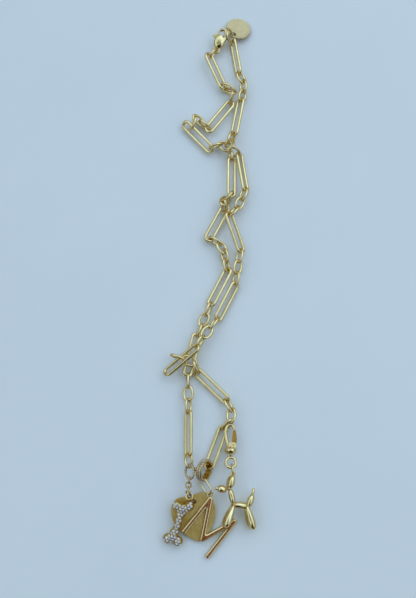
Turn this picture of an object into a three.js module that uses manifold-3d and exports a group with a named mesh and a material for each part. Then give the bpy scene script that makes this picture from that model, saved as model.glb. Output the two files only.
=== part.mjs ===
// Charm necklace: a mixed paperclip chain that lies folded in two, its lobster clasp and tag at
// the +Y end and its charm holder, swivel clasp and charms at the -Y end. Millimetres, +Z up.
import * as THREE from 'three';
import { mergeVertices } from 'three/addons/utils/BufferGeometryUtils.js';
import Module from 'manifold-3d';

const wasm = await Module();
wasm.setup();

// ---------------------------------------------------------------- driving dimensions
const GAP = 0.3; // play between a link and the link that it hooks
const LONG = { length: 18.2, width: 4.4, wire: 1.1 };
const SMALL = { length: 6.6, width: 4.5, wire: 0.95 };
const PITCH = SMALL.length - 2 * SMALL.wire - GAP; // hook to hook, pulled straight
const SOLDER = 0.36; // radius of the peg that joins neighbouring small links of a run

const CLASP = { bodyLength: 6.0, bodyWidth: 4.2, thick: 2.4, hookWire: 1.1, slot: 1.4, lever: 0.9 };
const TAG = { radius: 5.4, thick: 0.6, holeRadius: 1.1, holeAt: 3.9 };
const HEART = { thick: 1.1, holeRadius: 0.8 };
const LETTER = { bar: 1.8, thick: 1.5 };
const BONE = { shaft: 2.8 };
const BAND = { radius: 4.35, thick: 1.2, narrow: 1.4, wide: 2.1 };

// Long links in order from the clasp to the holder. x, y, z: centre. heading: way the chain
// runs, from +X. rise: how far the far end is lifted. roll: how far the left rail is lifted.
const LONG_LINKS = [
  { name: 'link_left_1', x: 3.3, y: 99.0, z: 2.7, heading: -66, rise: -5, roll: -30 },
  { name: 'link_left_2', x: 4.9, y: 78.3, z: 2.0, heading: -128, rise: 0, roll: 5 },
  { name: 'link_left_3', x: -4.3, y: 69.0, z: 2.3, heading: -47, rise: 0, roll: 35 },
  { name: 'link_left_4', x: 9.7, y: 51.0, z: 2.4, heading: -91, rise: 0, roll: -28 },
  { name: 'link_left_5', x: 3.7, y: 31.3, z: 2.0, heading: -118, rise: 0, roll: -15 },
  { name: 'link_left_6', x: 4.6, y: 4.4, z: 2.3, heading: -117, rise: 0, roll: 30 },
  { name: 'link_left_7', x: -6.2, y: -22.9, z: 2.2, heading: -103, rise: 0, roll: -20 },
  { name: 'link_left_8', x: -7.5, y: -53.2, z: 2.4, heading: -90, rise: 0, roll: 48 },
  { name: 'link_right_1', x: 11.9, y: 106.0, z: 2.1, heading: -81, rise: 0, roll: 60 },
  { name: 'link_right_2', x: 12.4, y: 77.9, z: 2.4, heading: -101, rise: 0, roll: 42 },
  { name: 'link_right_3', x: 14.2, y: 53.3, z: 2.4, heading: -81, rise: 0, roll: -50 },
  { name: 'link_right_4', x: 10.9, y: 26.9, z: 3.2, heading: -71, rise: -7, roll: -35 },
  { name: 'link_right_5', x: 7.4, y: -1.5, z: 2.3, heading: -117, rise: 0, roll: -40 },
  { name: 'link_right_6', x: -10.2, y: -25.2, z: 4.3, heading: -141, rise: -13, roll: 35 },
  { name: 'link_right_7', x: 1.5, y: -35.2, z: 2.3, heading: -44, rise: 0, roll: 35 },
  { name: 'link_right_8', x: 3.1, y: -58.5, z: 1.6, heading: -111, rise: 3, roll: 17 },
];

// Runs of small links. A run hangs in an even bow unless via lists the points between its links.
// bulge: side that it bows out to (1 left, -1 right of its way). inset: how far along the next
// long link's slot the last small link has slid. start: where the first small link's near end
// lies, when it has slid off along the slot.
const RUNS = [
  { name: 'run_left_1', from: 'link_left_1', to: 'link_left_2', count: 3,
    via: [[9.3, 90.8, 2.1], [10.3, 88.0, 4.3]] },
  { name: 'run_left_2', from: 'link_left_2', to: 'link_left_3', count: 3,
    via: [[-2.7, 75.3, 2.2], [-5.2, 76.9, 3.6]], inset: 2.9 },
  { name: 'run_left_3', from: 'link_left_3', to: 'link_left_4', count: 3, bulge: 1 },
  { name: 'run_left_4', from: 'link_left_4', to: 'link_left_5', count: 3,
    via: [[7.4, 41.4, 2.2], [6.4, 39.0, 3.9]], inset: 1.4 },
  { name: 'run_left_5', from: 'link_left_5', to: 'link_left_6', count: 4,
    via: [[4.6, 22.5, 2.3], [6.5, 19.1, 2.3], [7.1, 15.3, 2.3]] },
  { name: 'run_left_6', from: 'link_left_6', to: 'link_left_7', count: 3, bulge: 1 },
  { name: 'run_left_7', from: 'link_left_7', to: 'link_left_8', count: 3, bulge: 1 },
  { name: 'run_right_1', from: 'link_right_1', to: 'link_right_2', count: 3, bulge: 1 },
  { name: 'run_right_2', from: 'link_right_2', to: 'link_right_3', count: 3,
    via: [[8.9, 66.5, 4.2], [9.0, 62.5, 5.9]] },
  { name: 'run_right_3', from: 'link_right_3', to: 'link_right_4', count: 3, bulge: 1 },
  { name: 'run_right_4', from: 'link_right_4', to: 'link_right_5', count: 3, bulge: 1 },
  { name: 'run_right_5', from: 'link_right_5', to: 'link_right_6', count: 3, bulge: 1 },
  { name: 'run_right_6', from: 'link_right_6', to: 'link_right_7', count: 3,
    start: [-13.8, -23.4, 4.0], via: [[-9.5, -24.9, 4.0], [-5.2, -26.2, 4.2]] },
  { name: 'run_right_7', from: 'link_right_7', to: 'link_right_8', count: 3,
    via: [[9.0, -44.3, 2.4], [8.8, -48.5, 3.3]] },
];

// ---------------------------------------------------------------- materials
function metal(name, color, roughness) {
  return new THREE.MeshStandardMaterial({ name, color, roughness, metalness: 1 });
}

const polishedGold = metal('polished_gold', 0xe3bf5f, 0.14);
const satinGold = metal('satin_gold', 0xd4bf86, 0.42);
const paveGold = metal('pave_gold', 0xd9c88e, 0.3);

// ---------------------------------------------------------------- helpers
const vec = (x, y, z = 0) => new THREE.Vector3(x, y, z);
const radians = THREE.MathUtils.degToRad;

/** A geometry with its position only and its shared vertices merged. */
function welded(geometry) {
  const plain = geometry.index ? geometry.toNonIndexed() : geometry.clone();
  plain.deleteAttribute('normal');
  plain.deleteAttribute('uv');
  return mergeVertices(plain, 1e-4);
}

function toSolid(geometry) {
  const mesh = welded(geometry);
  return new wasm.Manifold(new wasm.Mesh({
    numProp: 3,
    vertProperties: new Float32Array(mesh.attributes.position.array),
    triVerts: new Uint32Array(mesh.index.array),
  }));
}

function toGeometry(solid) {
  const mesh = solid.getMesh();
  const geometry = new THREE.BufferGeometry();
  geometry.setAttribute('position', new THREE.BufferAttribute(mesh.vertProperties, 3));
  geometry.setIndex(new THREE.BufferAttribute(mesh.triVerts, 1));
  return geometry;
}

function joined(geometries) {
  const [first, ...rest] = geometries.map(toSolid);
  return toGeometry(rest.reduce((sum, solid) => sum.add(solid), first));
}

function cut(geometry, ...cutters) {
  return toGeometry(cutters.reduce((left, cutter) => left.subtract(toSolid(cutter)), toSolid(geometry)));
}

/** The centre line of an oval ring in the XY plane, long along Y, with a station at each bend. */
class OvalPath extends THREE.Curve {
  constructor(length, width, bowSteps) {
    super();
    this.radius = width / 2;
    this.straight = (length - width) / 2;
    this.bowSteps = bowSteps;
    this.stations = this.straight > 0 ? 2 * (bowSteps + 1) : 2 * bowSteps;
  }

  angleAndEnd(t) {
    const perBow = this.stations / 2;
    const station = Math.round(t * this.stations) % this.stations;
    const end = station < perBow ? 1 : -1;
    const along = (station % perBow) / this.bowSteps;
    return { angle: Math.PI * (along + (end > 0 ? 0 : 1)), end };
  }

  getPoint(t) {
    const { angle, end } = this.angleAndEnd(t);
    return vec(this.radius * Math.cos(angle), this.radius * Math.sin(angle) + end * this.straight);
  }

  getTangent(t) {
    const { angle } = this.angleAndEnd(t);
    return vec(-Math.sin(angle), Math.cos(angle));
  }

  getPointAt(t) {
    return this.getPoint(t);
  }

  getTangentAt(t) {
    return this.getTangent(t);
  }
}

/** A closed wire ring, round or oval, from its outer sizes. */
function wireRing({ length, width, wire }, bowSteps = 4, sides = 6) {
  const path = new OvalPath(length - wire, width - wire, bowSteps);
  return new THREE.TubeGeometry(path, path.stations, wire / 2, sides, true);
}

/** The placement of a piece whose local Y runs along axis and local X along width. */
function pose(centre, axis, width) {
  const y = axis.clone().normalize();
  const z = width.clone().cross(y).normalize();
  const x = y.clone().cross(z);
  return new THREE.Matrix4().makeBasis(x, y, z).setPosition(centre);
}

/** A placement from a centre, a heading from +X, a rise and a roll, all in degrees. */
function lay({ x, y, z, heading, rise = 0, roll = 0 }) {
  const level = radians(heading);
  const lift = radians(rise);
  const axis = vec(Math.cos(level) * Math.cos(lift), Math.sin(level) * Math.cos(lift), Math.sin(lift));
  const left = vec(-Math.sin(level), Math.cos(level));
  left.applyAxisAngle(axis, radians(roll));
  return pose(vec(x, y, z), axis, left.negate());
}

const necklace = new THREE.Group();

function addPiece(name, geometry, material, placement = new THREE.Matrix4()) {
  const mesh = new THREE.Mesh(geometry, material);
  mesh.name = name;
  placement.decompose(mesh.position, mesh.quaternion, mesh.scale);
  necklace.add(mesh);
  return mesh;
}

// ---------------------------------------------------------------- chain
const longPoses = {};

function buildLongLinks() {
  const shape = wireRing(LONG);
  for (const row of LONG_LINKS) {
    longPoses[row.name] = lay(row);
    addPiece(row.name, shape, polishedGold, longPoses[row.name]);
  }
}

const column = (matrix, index) => new THREE.Vector3().setFromMatrixColumn(matrix, index);

/** The slot end of a long link (end 1 the far one, -1 the near one): bow centre and normal. */
function slotEnd(linkName, end, inset = 0) {
  const placed = longPoses[linkName];
  const reach = (LONG.length - LONG.width) / 2 - inset;
  return {
    centre: column(placed, 3).addScaledVector(column(placed, 1), end * reach),
    normal: column(placed, 2),
  };
}

/** Points that are one pitch apart on an arc from start to end, bowed to one side. */
function hookPoints(start, end, { count, bulge, via }) {
  if (via) return [start, ...via.map((point) => vec(...point)), end];
  const chord = end.clone().sub(start);
  const span = chord.length();
  const side = vec(0, 0, 1).cross(chord).normalize().multiplyScalar(bulge);
  if (span >= count * PITCH) {
    return Array.from({ length: count + 1 }, (_, i) => start.clone().lerp(end, i / count));
  }
  let low = 1e-4;
  let high = (2 * Math.PI) / count - 1e-4;
  for (let step = 0; step < 60; step += 1) {
    const turn = (low + high) / 2;
    const reach = (PITCH * Math.sin((count * turn) / 2)) / Math.sin(turn / 2);
    if (reach > span) low = turn;
    else high = turn;
  }
  const along = chord.clone().normalize();
  const points = [start.clone()];
  for (let i = 0; i < count; i += 1) {
    const angle = low * ((count - 1) / 2 - i);
    points.push(points[i].clone()
      .addScaledVector(along, PITCH * Math.cos(angle))
      .addScaledVector(side, PITCH * Math.sin(angle)));
  }
  points[count].copy(end);
  return points;
}

/** Where a small link meets a long link's bow when it is pulled the given way. */
function hookInBow(bow, pull) {
  const reach = (LONG.width - LONG.wire) / 2 - (LONG.wire + SMALL.wire) / 4 - GAP / 2;
  const flat = pull.clone().projectOnPlane(bow.normal).normalize();
  return bow.centre.clone().addScaledVector(flat, reach);
}

/** The hook points of a run, from the slot of one long link to the slot of the next. */
function runHooks(run) {
  const from = slotEnd(run.from, 1);
  const to = slotEnd(run.to, -1, run.inset);
  let pull = to.centre.clone().sub(from.centre);
  let back = pull.clone().negate();
  let hooks;
  for (let pass = 0; pass < 6; pass += 1) {
    const start = run.start ? vec(...run.start) : hookInBow(from, pull);
    hooks = hookPoints(start, hookInBow(to, back), run);
    pull = hooks[1].clone().sub(hooks[0]);
    back = hooks[run.count - 1].clone().sub(hooks[run.count]);
  }
  return { hooks, fromNormal: from.normal, toNormal: to.normal };
}

/** The placements of a run's small links: each turned a quarter turn from its neighbours. */
function runPoses(run) {
  const { hooks, fromNormal, toNormal } = runHooks(run);
  const axes = hooks.slice(1).map((hook, i) => hook.clone().sub(hooks[i]).normalize());
  const quarterTurns = (twist) => {
    let width = fromNormal.clone();
    return axes.map((axis) => {
      width = width.projectOnPlane(axis).normalize().applyAxisAngle(axis, twist);
      const placedWidth = width.clone();
      width = width.clone().cross(axis);
      return placedWidth;
    });
  };
  const last = axes[run.count - 1];
  const wanted = toNormal.clone().projectOnPlane(last).normalize();
  const reached = quarterTurns(0)[run.count - 1];
  let miss = Math.atan2(reached.clone().cross(wanted).dot(last), reached.dot(wanted));
  if (miss > Math.PI / 2) miss -= Math.PI;
  if (miss < -Math.PI / 2) miss += Math.PI;
  const widths = quarterTurns(miss / (run.count + 1));
  const poses = axes.map((axis, i) => pose(hooks[i].clone().lerp(hooks[i + 1], 0.5), axis, widths[i]));
  return { hooks, poses };
}

/** A peg from the far bow of one link to the near bow of the next, joining them. */
function solderPeg(from, to, radius) {
  const peg = new THREE.CylinderGeometry(radius, radius, from.distanceTo(to), 5, 1);
  const turn = new THREE.Quaternion().setFromUnitVectors(vec(0, 1), to.clone().sub(from).normalize());
  const middle = from.clone().lerp(to, 0.5);
  return peg.applyMatrix4(new THREE.Matrix4().compose(middle, turn, vec(1, 1, 1)));
}

function buildRuns() {
  const link = wireRing(SMALL, 4, 5);
  const bow = (SMALL.length - SMALL.wire) / 2;
  for (const run of RUNS) {
    const { hooks, poses } = runPoses(run);
    const centre = hooks[0].clone().lerp(hooks[run.count], 0.5);
    const home = new THREE.Matrix4().makeTranslation(-centre.x, -centre.y, -centre.z);
    const placed = poses.map((matrix) => home.clone().multiply(matrix));
    const links = placed.map((matrix) => link.clone().applyMatrix4(matrix));
    const pegs = placed.slice(1).map((matrix, i) => solderPeg(
      vec(0, bow).applyMatrix4(placed[i]), vec(0, -bow).applyMatrix4(matrix), SOLDER,
    ));
    addPiece(run.name, joined([...links, ...pegs]), polishedGold,
      new THREE.Matrix4().makeTranslation(centre.x, centre.y, centre.z));
  }
}

/** Single rings and links: outer sizes, centre, heading, rise and roll as for a long link. */
const RINGS = [
  { name: 'clasp_ring', length: 5.8, width: 4.5, wire: 0.95, x: 2.1, y: 107.3, z: 2.5, heading: -130,
    rise: 12, roll: 88 },
  { name: 'end_ring', length: 7.6, width: 5.0, wire: 0.9, x: 9.5, y: 115.1, z: 3.3,
    heading: -52, rise: -38, roll: -30 },
  { name: 'holder_link', length: 7.0, width: 4.5, wire: 0.95, x: -7.3, y: -63.3, z: 3.8,
    heading: -92, rise: 32, roll: -46 },
  { name: 'bone_ring', length: 3.0, width: 2.9, wire: 0.5, x: -6.9, y: -76.5, z: 5.8,
    heading: -81, rise: 11, roll: -1 },
  { name: 'heart_ring', length: 6.2, width: 4.0, wire: 0.6, x: -6.6, y: -76.6, z: 2.7,
    heading: -62, rise: -34, roll: 60 },
  { name: 'letter_ring', length: 7.9, width: 4.2, wire: 0.65, x: -1.0, y: -72.6, z: 3.6,
    heading: -57, rise: 13, roll: 47 },
  { name: 'dog_ring', length: 4.6, width: 3.8, wire: 0.6, x: 9.2, y: -66.7, z: 3.9, heading: -82,
    rise: 20, roll: 87 },
];

function buildRings() {
  for (const row of RINGS) {
    addPiece(row.name, wireRing(row), polishedGold, lay(row));
  }
}

// ---------------------------------------------------------------- shapes for clasps and charms
/** A solid rod along a curve. */
function rod(curve, radius, steps, sides = 8) {
  const section = new THREE.Shape().absarc(0, 0, radius, 0, 2 * Math.PI);
  return new THREE.ExtrudeGeometry(section, { extrudePath: curve, steps, curveSegments: sides });
}

/** A flat plate of an outline in the XY plane, centred on Z. */
function plate(shape, thick, curveSegments = 8) {
  return new THREE.ExtrudeGeometry(shape, { depth: thick, bevelEnabled: false, curveSegments })
    .translate(0, 0, -thick / 2);
}

const outline = (points) => new THREE.Shape(points.map(([x, y]) => new THREE.Vector2(x, y)));

/** A closed turned solid along Y; swell 1 is pointed, larger is fuller towards its ends. */
function balloon(length, width, swell = 2.4, steps = 8, sides = 8) {
  const profile = Array.from({ length: steps + 1 }, (_, i) => {
    const t = -Math.cos((Math.PI * i) / steps);
    const full = Math.sqrt(Math.max(0, 1 - Math.abs(t) ** swell));
    return new THREE.Vector2(i % steps === 0 ? 0 : (width / 2) * full, (t * length) / 2);
  });
  return new THREE.LatheGeometry(profile, sides);
}

/** A balloon with its ends at two points. */
function balloonBetween(from, to, width, swell) {
  const turn = new THREE.Quaternion().setFromUnitVectors(vec(0, 1), to.clone().sub(from).normalize());
  const placed = new THREE.Matrix4().compose(from.clone().lerp(to, 0.5), turn, vec(1, 1, 1));
  return balloon(from.distanceTo(to), width, swell).applyMatrix4(placed);
}

// ---------------------------------------------------------------- lobster clasp
// Local frame: Y from the tail eye to the hook, X to the fixed arm, origin at mid length.
const CLASP_POSE = lay({ x: 5.0, y: 113.2, z: 3.1, heading: 72, rise: 12 });
const LEVER_PIVOT = vec(-1.0, -0.7);

function claspBody() {
  const { bodyLength, bodyWidth, thick, hookWire, slot } = CLASP;
  const bulb = balloon(bodyLength, bodyWidth, 3, 8, 12).scale(1, 1, thick / bodyWidth)
    .translate(0, -0.8, 0);
  const hook = new THREE.CatmullRomCurve3([
    vec(1.2, 0.4), vec(2.3, 1.8), vec(2.6, 3.2), vec(1.8, 4.5), vec(0.3, 4.9), vec(-1.0, 4.2),
  ]);
  const eye = new THREE.TorusGeometry(1.25, 0.38, 6, 12).translate(0, -4.4, 0);
  const leverSlot = plate(outline([
    [0.35, -1.8], [0.2, 3.5], [-4, 3.5], [-4, -2.2], [-0.5, -2.2],
  ]), slot);
  const pin = new THREE.CylinderGeometry(0.3, 0.3, thick - 0.9, 8).rotateX(Math.PI / 2)
    .translate(LEVER_PIVOT.x, LEVER_PIVOT.y, 0);
  return joined([cut(joined([bulb, rod(hook, hookWire / 2, 12), eye]), leverSlot), pin]);
}

function claspLever() {
  const arm = outline([
    [-0.5, -1.6], [-0.15, -0.9], [-0.3, 0.2], [-1.0, 1.4], [-1.0, 3.2], [-1.8, 3.2], [-2.2, 2.0],
    [-3.3, 1.8], [-3.3, 0.9], [-2.2, 0.5], [-1.9, -0.8], [-1.6, -1.5],
  ]);
  arm.holes.push(new THREE.Path().absarc(LEVER_PIVOT.x, LEVER_PIVOT.y, 0.55, 0, 2 * Math.PI, true));
  return plate(arm, CLASP.lever, 8);
}

function buildClasp() {
  addPiece('clasp_body', claspBody(), polishedGold, CLASP_POSE);
  addPiece('clasp_lever', claspLever(), polishedGold, CLASP_POSE);
}

// ---------------------------------------------------------------- tag and heart
function buildTag() {
  const { radius, thick, holeRadius, holeAt } = TAG;
  const face = new THREE.Shape().absarc(0, 0, radius, 0, 2 * Math.PI);
  face.holes.push(new THREE.Path().absarc(0, -holeAt, holeRadius, 0, 2 * Math.PI, true));
  addPiece('tag', plate(face, thick, 24), satinGold,
    lay({ x: 13.1, y: 119.9, z: 1.35, heading: 58, rise: -11 }));
}

/** Heart in its own frame: origin near its middle, its notch up and its point to -Y. */
function heartShape() {
  const heart = new THREE.Shape();
  heart.moveTo(0, 6.2);
  heart.bezierCurveTo(0.8, 7.8, 4.2, 8.9, 6.5, 6.9);
  heart.bezierCurveTo(10.0, 3.8, 8.6, -4.4, 0.8, -9.2);
  heart.lineTo(-0.8, -9.2);
  heart.bezierCurveTo(-8.6, -4.4, -10.0, 3.8, -6.5, 6.9);
  heart.bezierCurveTo(-4.2, 8.9, -0.8, 7.8, 0, 6.2);
  return heart;
}

function buildHeart() {
  const face = heartShape();
  face.holes.push(new THREE.Path().absarc(1.1, 5.2, HEART.holeRadius, 0, 2 * Math.PI));
  addPiece('heart_charm', plate(face, HEART.thick, 10), satinGold,
    lay({ x: -5.0, y: -83.8, z: 1.38, heading: 104, rise: 5 }));
}

// ---------------------------------------------------------------- charm holder
// A pave band that stands tilted, widest at the charms and narrow where the chain hooks it, with
// a round pave loop soldered to its raised left side.
const BAND_POSE = { x: -1.4, y: -66.9, z: 4.0, yaw: -14, lean: 4, tilt: 60 };

function buildHolder() {
  const { radius, thick, narrow, wide } = BAND;
  const bend = radius - thick / 2;
  const ring = new THREE.TorusGeometry(bend, thick / 2, 8, 28);
  const spots = ring.attributes.position;
  for (let i = 0; i < spots.count; i += 1) {
    const low = (1 - spots.getY(i) / bend) / 2;
    spots.setZ(i, (spots.getZ(i) * (narrow + (wide - narrow) * low)) / thick);
  }
  const { x, y, z, yaw, lean, tilt } = BAND_POSE;
  const band = ring.rotateY(radians(tilt)).rotateX(radians(lean)).rotateZ(radians(yaw))
    .translate(x, y, z);
  const loop = wireRing({ length: 6.2, width: 5.1, wire: 0.85 }, 8, 8).rotateY(radians(-40))
    .translate(-6.8, -67.5, 5.3);
  const seam = new THREE.SphereGeometry(0.7, 8, 6).translate(-4.7, -66.7, 6.7);
  addPiece('holder', joined([band, seam, loop]), paveGold);
}

// Three tiny pave links, soldered in a row, that hang the bone and the heart from the loop.
const BAIL_LINKS = [
  { length: 3.1, width: 2.7, wire: 0.5, x: -7.0, y: -70.65, z: 5.15, heading: -97, roll: 90 },
  { length: 2.7, width: 2.6, wire: 0.5, x: -7.3, y: -72.4, z: 5.3, heading: -88 },
  { length: 3.8, width: 2.8, wire: 0.5, x: -6.95, y: -74.55, z: 5.3, heading: -80, roll: 90 },
];

function buildBoneBail() {
  const [, middle] = BAIL_LINKS;
  const placed = BAIL_LINKS.map(({ x, y, z, ...turn }) => lay({
    x: x - middle.x, y: y - middle.y, z: z - middle.z, ...turn,
  }));
  const bow = (i, end) => vec(0, (end * (BAIL_LINKS[i].length - BAIL_LINKS[i].wire)) / 2)
    .applyMatrix4(placed[i]);
  const links = BAIL_LINKS.map((row, i) => wireRing(row, 4, 6).applyMatrix4(placed[i]));
  const pegs = [0, 1].map((i) => solderPeg(bow(i, 1), bow(i + 1, -1), 0.2));
  addPiece('bone_bail', joined([...links, ...pegs]), paveGold,
    new THREE.Matrix4().makeTranslation(middle.x, middle.y, middle.z));
}

// ---------------------------------------------------------------- swivel clasp
// Local frame: Y from the eye to the crown, origin in the collar.
const SWIVEL_POSE = lay({ x: 8.6, y: -59.6, z: 3.3, heading: 90, rise: -4, roll: 4 });
const GATE_PIVOT = vec(1.1, 2.15);

function swivelHook() {
  const hook = new THREE.CatmullRomCurve3([
    vec(-0.6, 1.0), vec(-1.4, 3.6), vec(-1.9, 6.8), vec(-1.6, 8.7), vec(-0.4, 9.6), vec(0.9, 9.0),
    vec(1.4, 7.7),
  ]);
  const collar = new THREE.LatheGeometry([
    [0.8, -1.3], [1.5, -1.3], [2.2, -0.5], [2.2, 0.4], [1.4, 1.2], [0, 1.2], [0, 0.2], [0.8, 0.2],
    [0.8, -1.3],
  ].map(([x, y]) => new THREE.Vector2(x, y)), 12);
  const cheeks = plate(outline([[-1.0, 0.8], [1.9, 0.8], [1.9, 2.4], [0.5, 2.7], [-1.0, 2.7]]), 2.4);
  const slot = plate(outline([[0.0, 1.3], [0.0, 4], [3, 4], [3, 1.3]]), 1.4);
  const pin = new THREE.CylinderGeometry(0.25, 0.25, 2.0, 8).rotateX(Math.PI / 2)
    .translate(GATE_PIVOT.x, GATE_PIVOT.y, 0);
  return joined([cut(joined([collar, cheeks, rod(hook, 0.6, 14)]), slot), pin]);
}

function swivelGate() {
  const gate = outline([
    [0.45, 1.8], [0.9, 1.5], [1.5, 1.55], [1.8, 2.2], [1.9, 4.5], [1.85, 7.2], [1.0, 7.2],
    [0.95, 4.5], [0.45, 2.7],
  ]);
  gate.holes.push(new THREE.Path().absarc(GATE_PIVOT.x, GATE_PIVOT.y, 0.42, 0, 2 * Math.PI, true));
  return plate(gate, 0.9);
}

function swivelEye() {
  const ring = new THREE.TorusGeometry(1.95, 0.5, 8, 16).scale(1.08, 1, 1).translate(0, -4.6, 0);
  const stem = new THREE.CylinderGeometry(0.5, 0.5, 2.5, 8).translate(0, -1.45, 0);
  return joined([ring, stem]);
}

function buildSwivel() {
  addPiece('swivel_hook', swivelHook(), polishedGold, SWIVEL_POSE);
  addPiece('swivel_gate', swivelGate(), polishedGold, SWIVEL_POSE);
  addPiece('swivel_eye', swivelEye(), polishedGold, SWIVEL_POSE);
}

// ---------------------------------------------------------------- charms
// Balloon dog lying on its side. Its balloons, from end to end; pair: how far each of two alike
// lies from the dog's middle plane.
const DOG_BALLOONS = [
  { from: [9.0, -68.8], to: [7.6, -73.6], width: 2.7, pair: 1.1 },
  { from: [6.9, -74.0], to: [3.1, -73.7], width: 2.9, pair: 0 },
  { from: [3.4, -73.7], to: [2.1, -73.5], width: 1.2, pair: 0 },
  { from: [7.9, -73.7], to: [9.5, -79.6], width: 2.2, pair: 0 },
  { from: [8.9, -79.6], to: [15.2, -79.9], width: 2.7, pair: 0 },
  { from: [9.2, -79.5], to: [5.9, -87.6], width: 2.9, pair: 1.2 },
  { from: [14.1, -79.9], to: [16.8, -88.6], width: 2.9, pair: 1.2 },
  { from: [15.0, -80.4], to: [16.8, -75.7], width: 2.4, pair: 0 },
  { from: [16.6, -76.2], to: [17.3, -73.4], width: 1.2, pair: 0 },
];

const DOG_KNOTS = [
  { at: [7.4, -73.7], width: 1.5, depth: 3.2 },
  { at: [9.2, -79.4], width: 1.5, depth: 3.4 },
  { at: [14.6, -80.1], width: 1.5, depth: 3.4 },
  { at: [16.7, -76.0], width: 0.9, depth: 0.9 },
];

function buildDog() {
  const pivot = vec(16, -88, 0);
  const balloons = DOG_BALLOONS.flatMap(({ from, to, width, pair }) => {
    const sides = pair ? [-pair, pair] : [0];
    return sides.map((z) => balloonBetween(vec(...from, z).sub(pivot), vec(...to, z).sub(pivot), width));
  });
  const knots = DOG_KNOTS.map(({ at, width, depth }) => new THREE.SphereGeometry(width / 2, 8, 6)
    .scale(1, 1, depth / width).translate(at[0] - pivot.x, at[1] - pivot.y, 0));
  const loop = new THREE.TorusGeometry(0.9, 0.28, 6, 10).translate(9.1, -68.6, 0)
    .translate(-pivot.x, -pivot.y, 0);
  addPiece('dog', joined([...balloons, ...knots, loop]), polishedGold,
    new THREE.Matrix4().makeRotationY(radians(13.5)).setPosition(pivot.x, pivot.y, 2.85));
}

/** Letter M of square bars, lying with its two feet to the lower left. */
function buildLetter() {
  const bends = [[-9.3, -89.1], [0.7, -77.1], [-2.2, -91.9], [10.1, -85.5], [-0.4, -98.3]];
  const half = LETTER.bar / 2;
  const bars = bends.slice(1).map((to, i) => {
    const from = bends[i];
    const length = Math.hypot(to[0] - from[0], to[1] - from[1]);
    const bar = new THREE.BoxGeometry(length + half, LETTER.bar, LETTER.thick);
    return bar.rotateZ(Math.atan2(to[1] - from[1], to[0] - from[0]))
      .translate((from[0] + to[0]) / 2, (from[1] + to[1]) / 2, 0);
  });
  const eye = new THREE.TorusGeometry(1.15, 0.3, 6, 10).translate(0.6, -75.9, 0);
  const foot = vec(-0.4, -98.3);
  const tilt = new THREE.Matrix4().makeRotationAxis(vec(0.64, 0.77).normalize(), radians(12.5));
  const letter = joined([...bars, eye]).translate(-foot.x, -foot.y, 0).applyMatrix4(tilt);
  addPiece('letter_charm', letter, polishedGold, new THREE.Matrix4().makeTranslation(foot.x, foot.y, 1.05));
}

/** Dog bone: a round shaft that widens into two round lobes at each end, leaning on the heart. */
function buildBone() {
  const foot = vec(-14.4, -91.3);
  const lobes = [
    [-11.9, -79.4, 1.5], [-6.1, -79.6, 1.6], [-15.0, -91.6, 1.7], [-10.9, -92.7, 1.6],
  ];
  const balls = lobes.map(([x, y, radius]) => new THREE.SphereGeometry(radius, 10, 8)
    .translate(x, y, 0));
  const shaft = balloonBetween(vec(-8.9, -79.2), vec(-13.1, -92.6), BONE.shaft, 8);
  const head = balloonBetween(vec(-12.5, -79.5), vec(-5.5, -79.7), BONE.shaft, 6);
  const loop = new THREE.TorusGeometry(0.8, 0.25, 6, 10).rotateY(radians(100))
    .translate(-6.2, -77.1, 0);
  const tilt = new THREE.Matrix4().makeRotationAxis(vec(0.83, -0.55).normalize(), radians(14));
  const bone = joined([...balls, shaft, head, loop]).translate(-foot.x, -foot.y, 0).applyMatrix4(tilt);
  addPiece('bone', bone, paveGold, new THREE.Matrix4().makeTranslation(foot.x, foot.y, 2.05));
}

buildLongLinks();
buildRuns();
buildRings();
buildClasp();
buildTag();
buildHolder();
buildBoneBail();
buildSwivel();
buildDog();
buildLetter();
buildBone();
buildHeart();

// ---------------------------------------------------------------- origin: middle of the base
const box = new THREE.Box3().setFromObject(necklace, true);
const middle = box.getCenter(vec(0, 0));
necklace.position.set(-middle.x, -middle.y, -box.min.z);

export default necklace;
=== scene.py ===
"""Looks of a gold charm necklace: paperclip chain, lobster clasp, tag and charms."""

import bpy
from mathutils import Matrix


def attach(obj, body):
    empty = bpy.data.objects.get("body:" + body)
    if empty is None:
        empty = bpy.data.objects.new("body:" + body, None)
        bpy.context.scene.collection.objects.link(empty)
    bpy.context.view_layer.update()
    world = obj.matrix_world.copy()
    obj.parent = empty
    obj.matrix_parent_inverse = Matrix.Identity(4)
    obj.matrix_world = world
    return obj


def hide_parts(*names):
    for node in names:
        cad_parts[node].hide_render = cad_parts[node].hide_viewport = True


bl_info = {
    "name": "Charm Necklace",
    "version": (1, 0, 0),
    "blender": (4, 5, 0),
    "location": "View3D > Sidebar > Necklace",
    "description": "Models the chain, clasps and charms of a gold necklace round its solid frame",
    "category": "Add Mesh",
}

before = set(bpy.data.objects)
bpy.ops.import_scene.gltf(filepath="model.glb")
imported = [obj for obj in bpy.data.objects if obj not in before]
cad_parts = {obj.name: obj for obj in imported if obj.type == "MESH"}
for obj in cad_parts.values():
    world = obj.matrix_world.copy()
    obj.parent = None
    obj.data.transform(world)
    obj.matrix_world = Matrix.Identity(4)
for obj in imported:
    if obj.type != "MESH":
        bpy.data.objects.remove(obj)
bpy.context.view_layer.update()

from math import acos, cos, pi, radians, sin

import bmesh
import bpy
import numpy as np
from mathutils import Matrix, Quaternion, Vector

# Pieces are modelled in millimetres and brought to metres when they are put in their place.
TO_METRES = Matrix.Scale(0.001, 4)


def solid_points(name):
    """The points of a solid of the frame, in millimetres."""
    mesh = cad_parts[name].data
    flat = np.empty(len(mesh.vertices) * 3)
    mesh.vertices.foreach_get("co", flat)
    return np.unique((flat.reshape(-1, 3) * 1000).round(5), axis=0)


def solid_middle(name):
    """The middle of a solid's box, in millimetres."""
    points = solid_points(name)
    return Vector((points.min(0) + points.max(0)) / 2)


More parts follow.
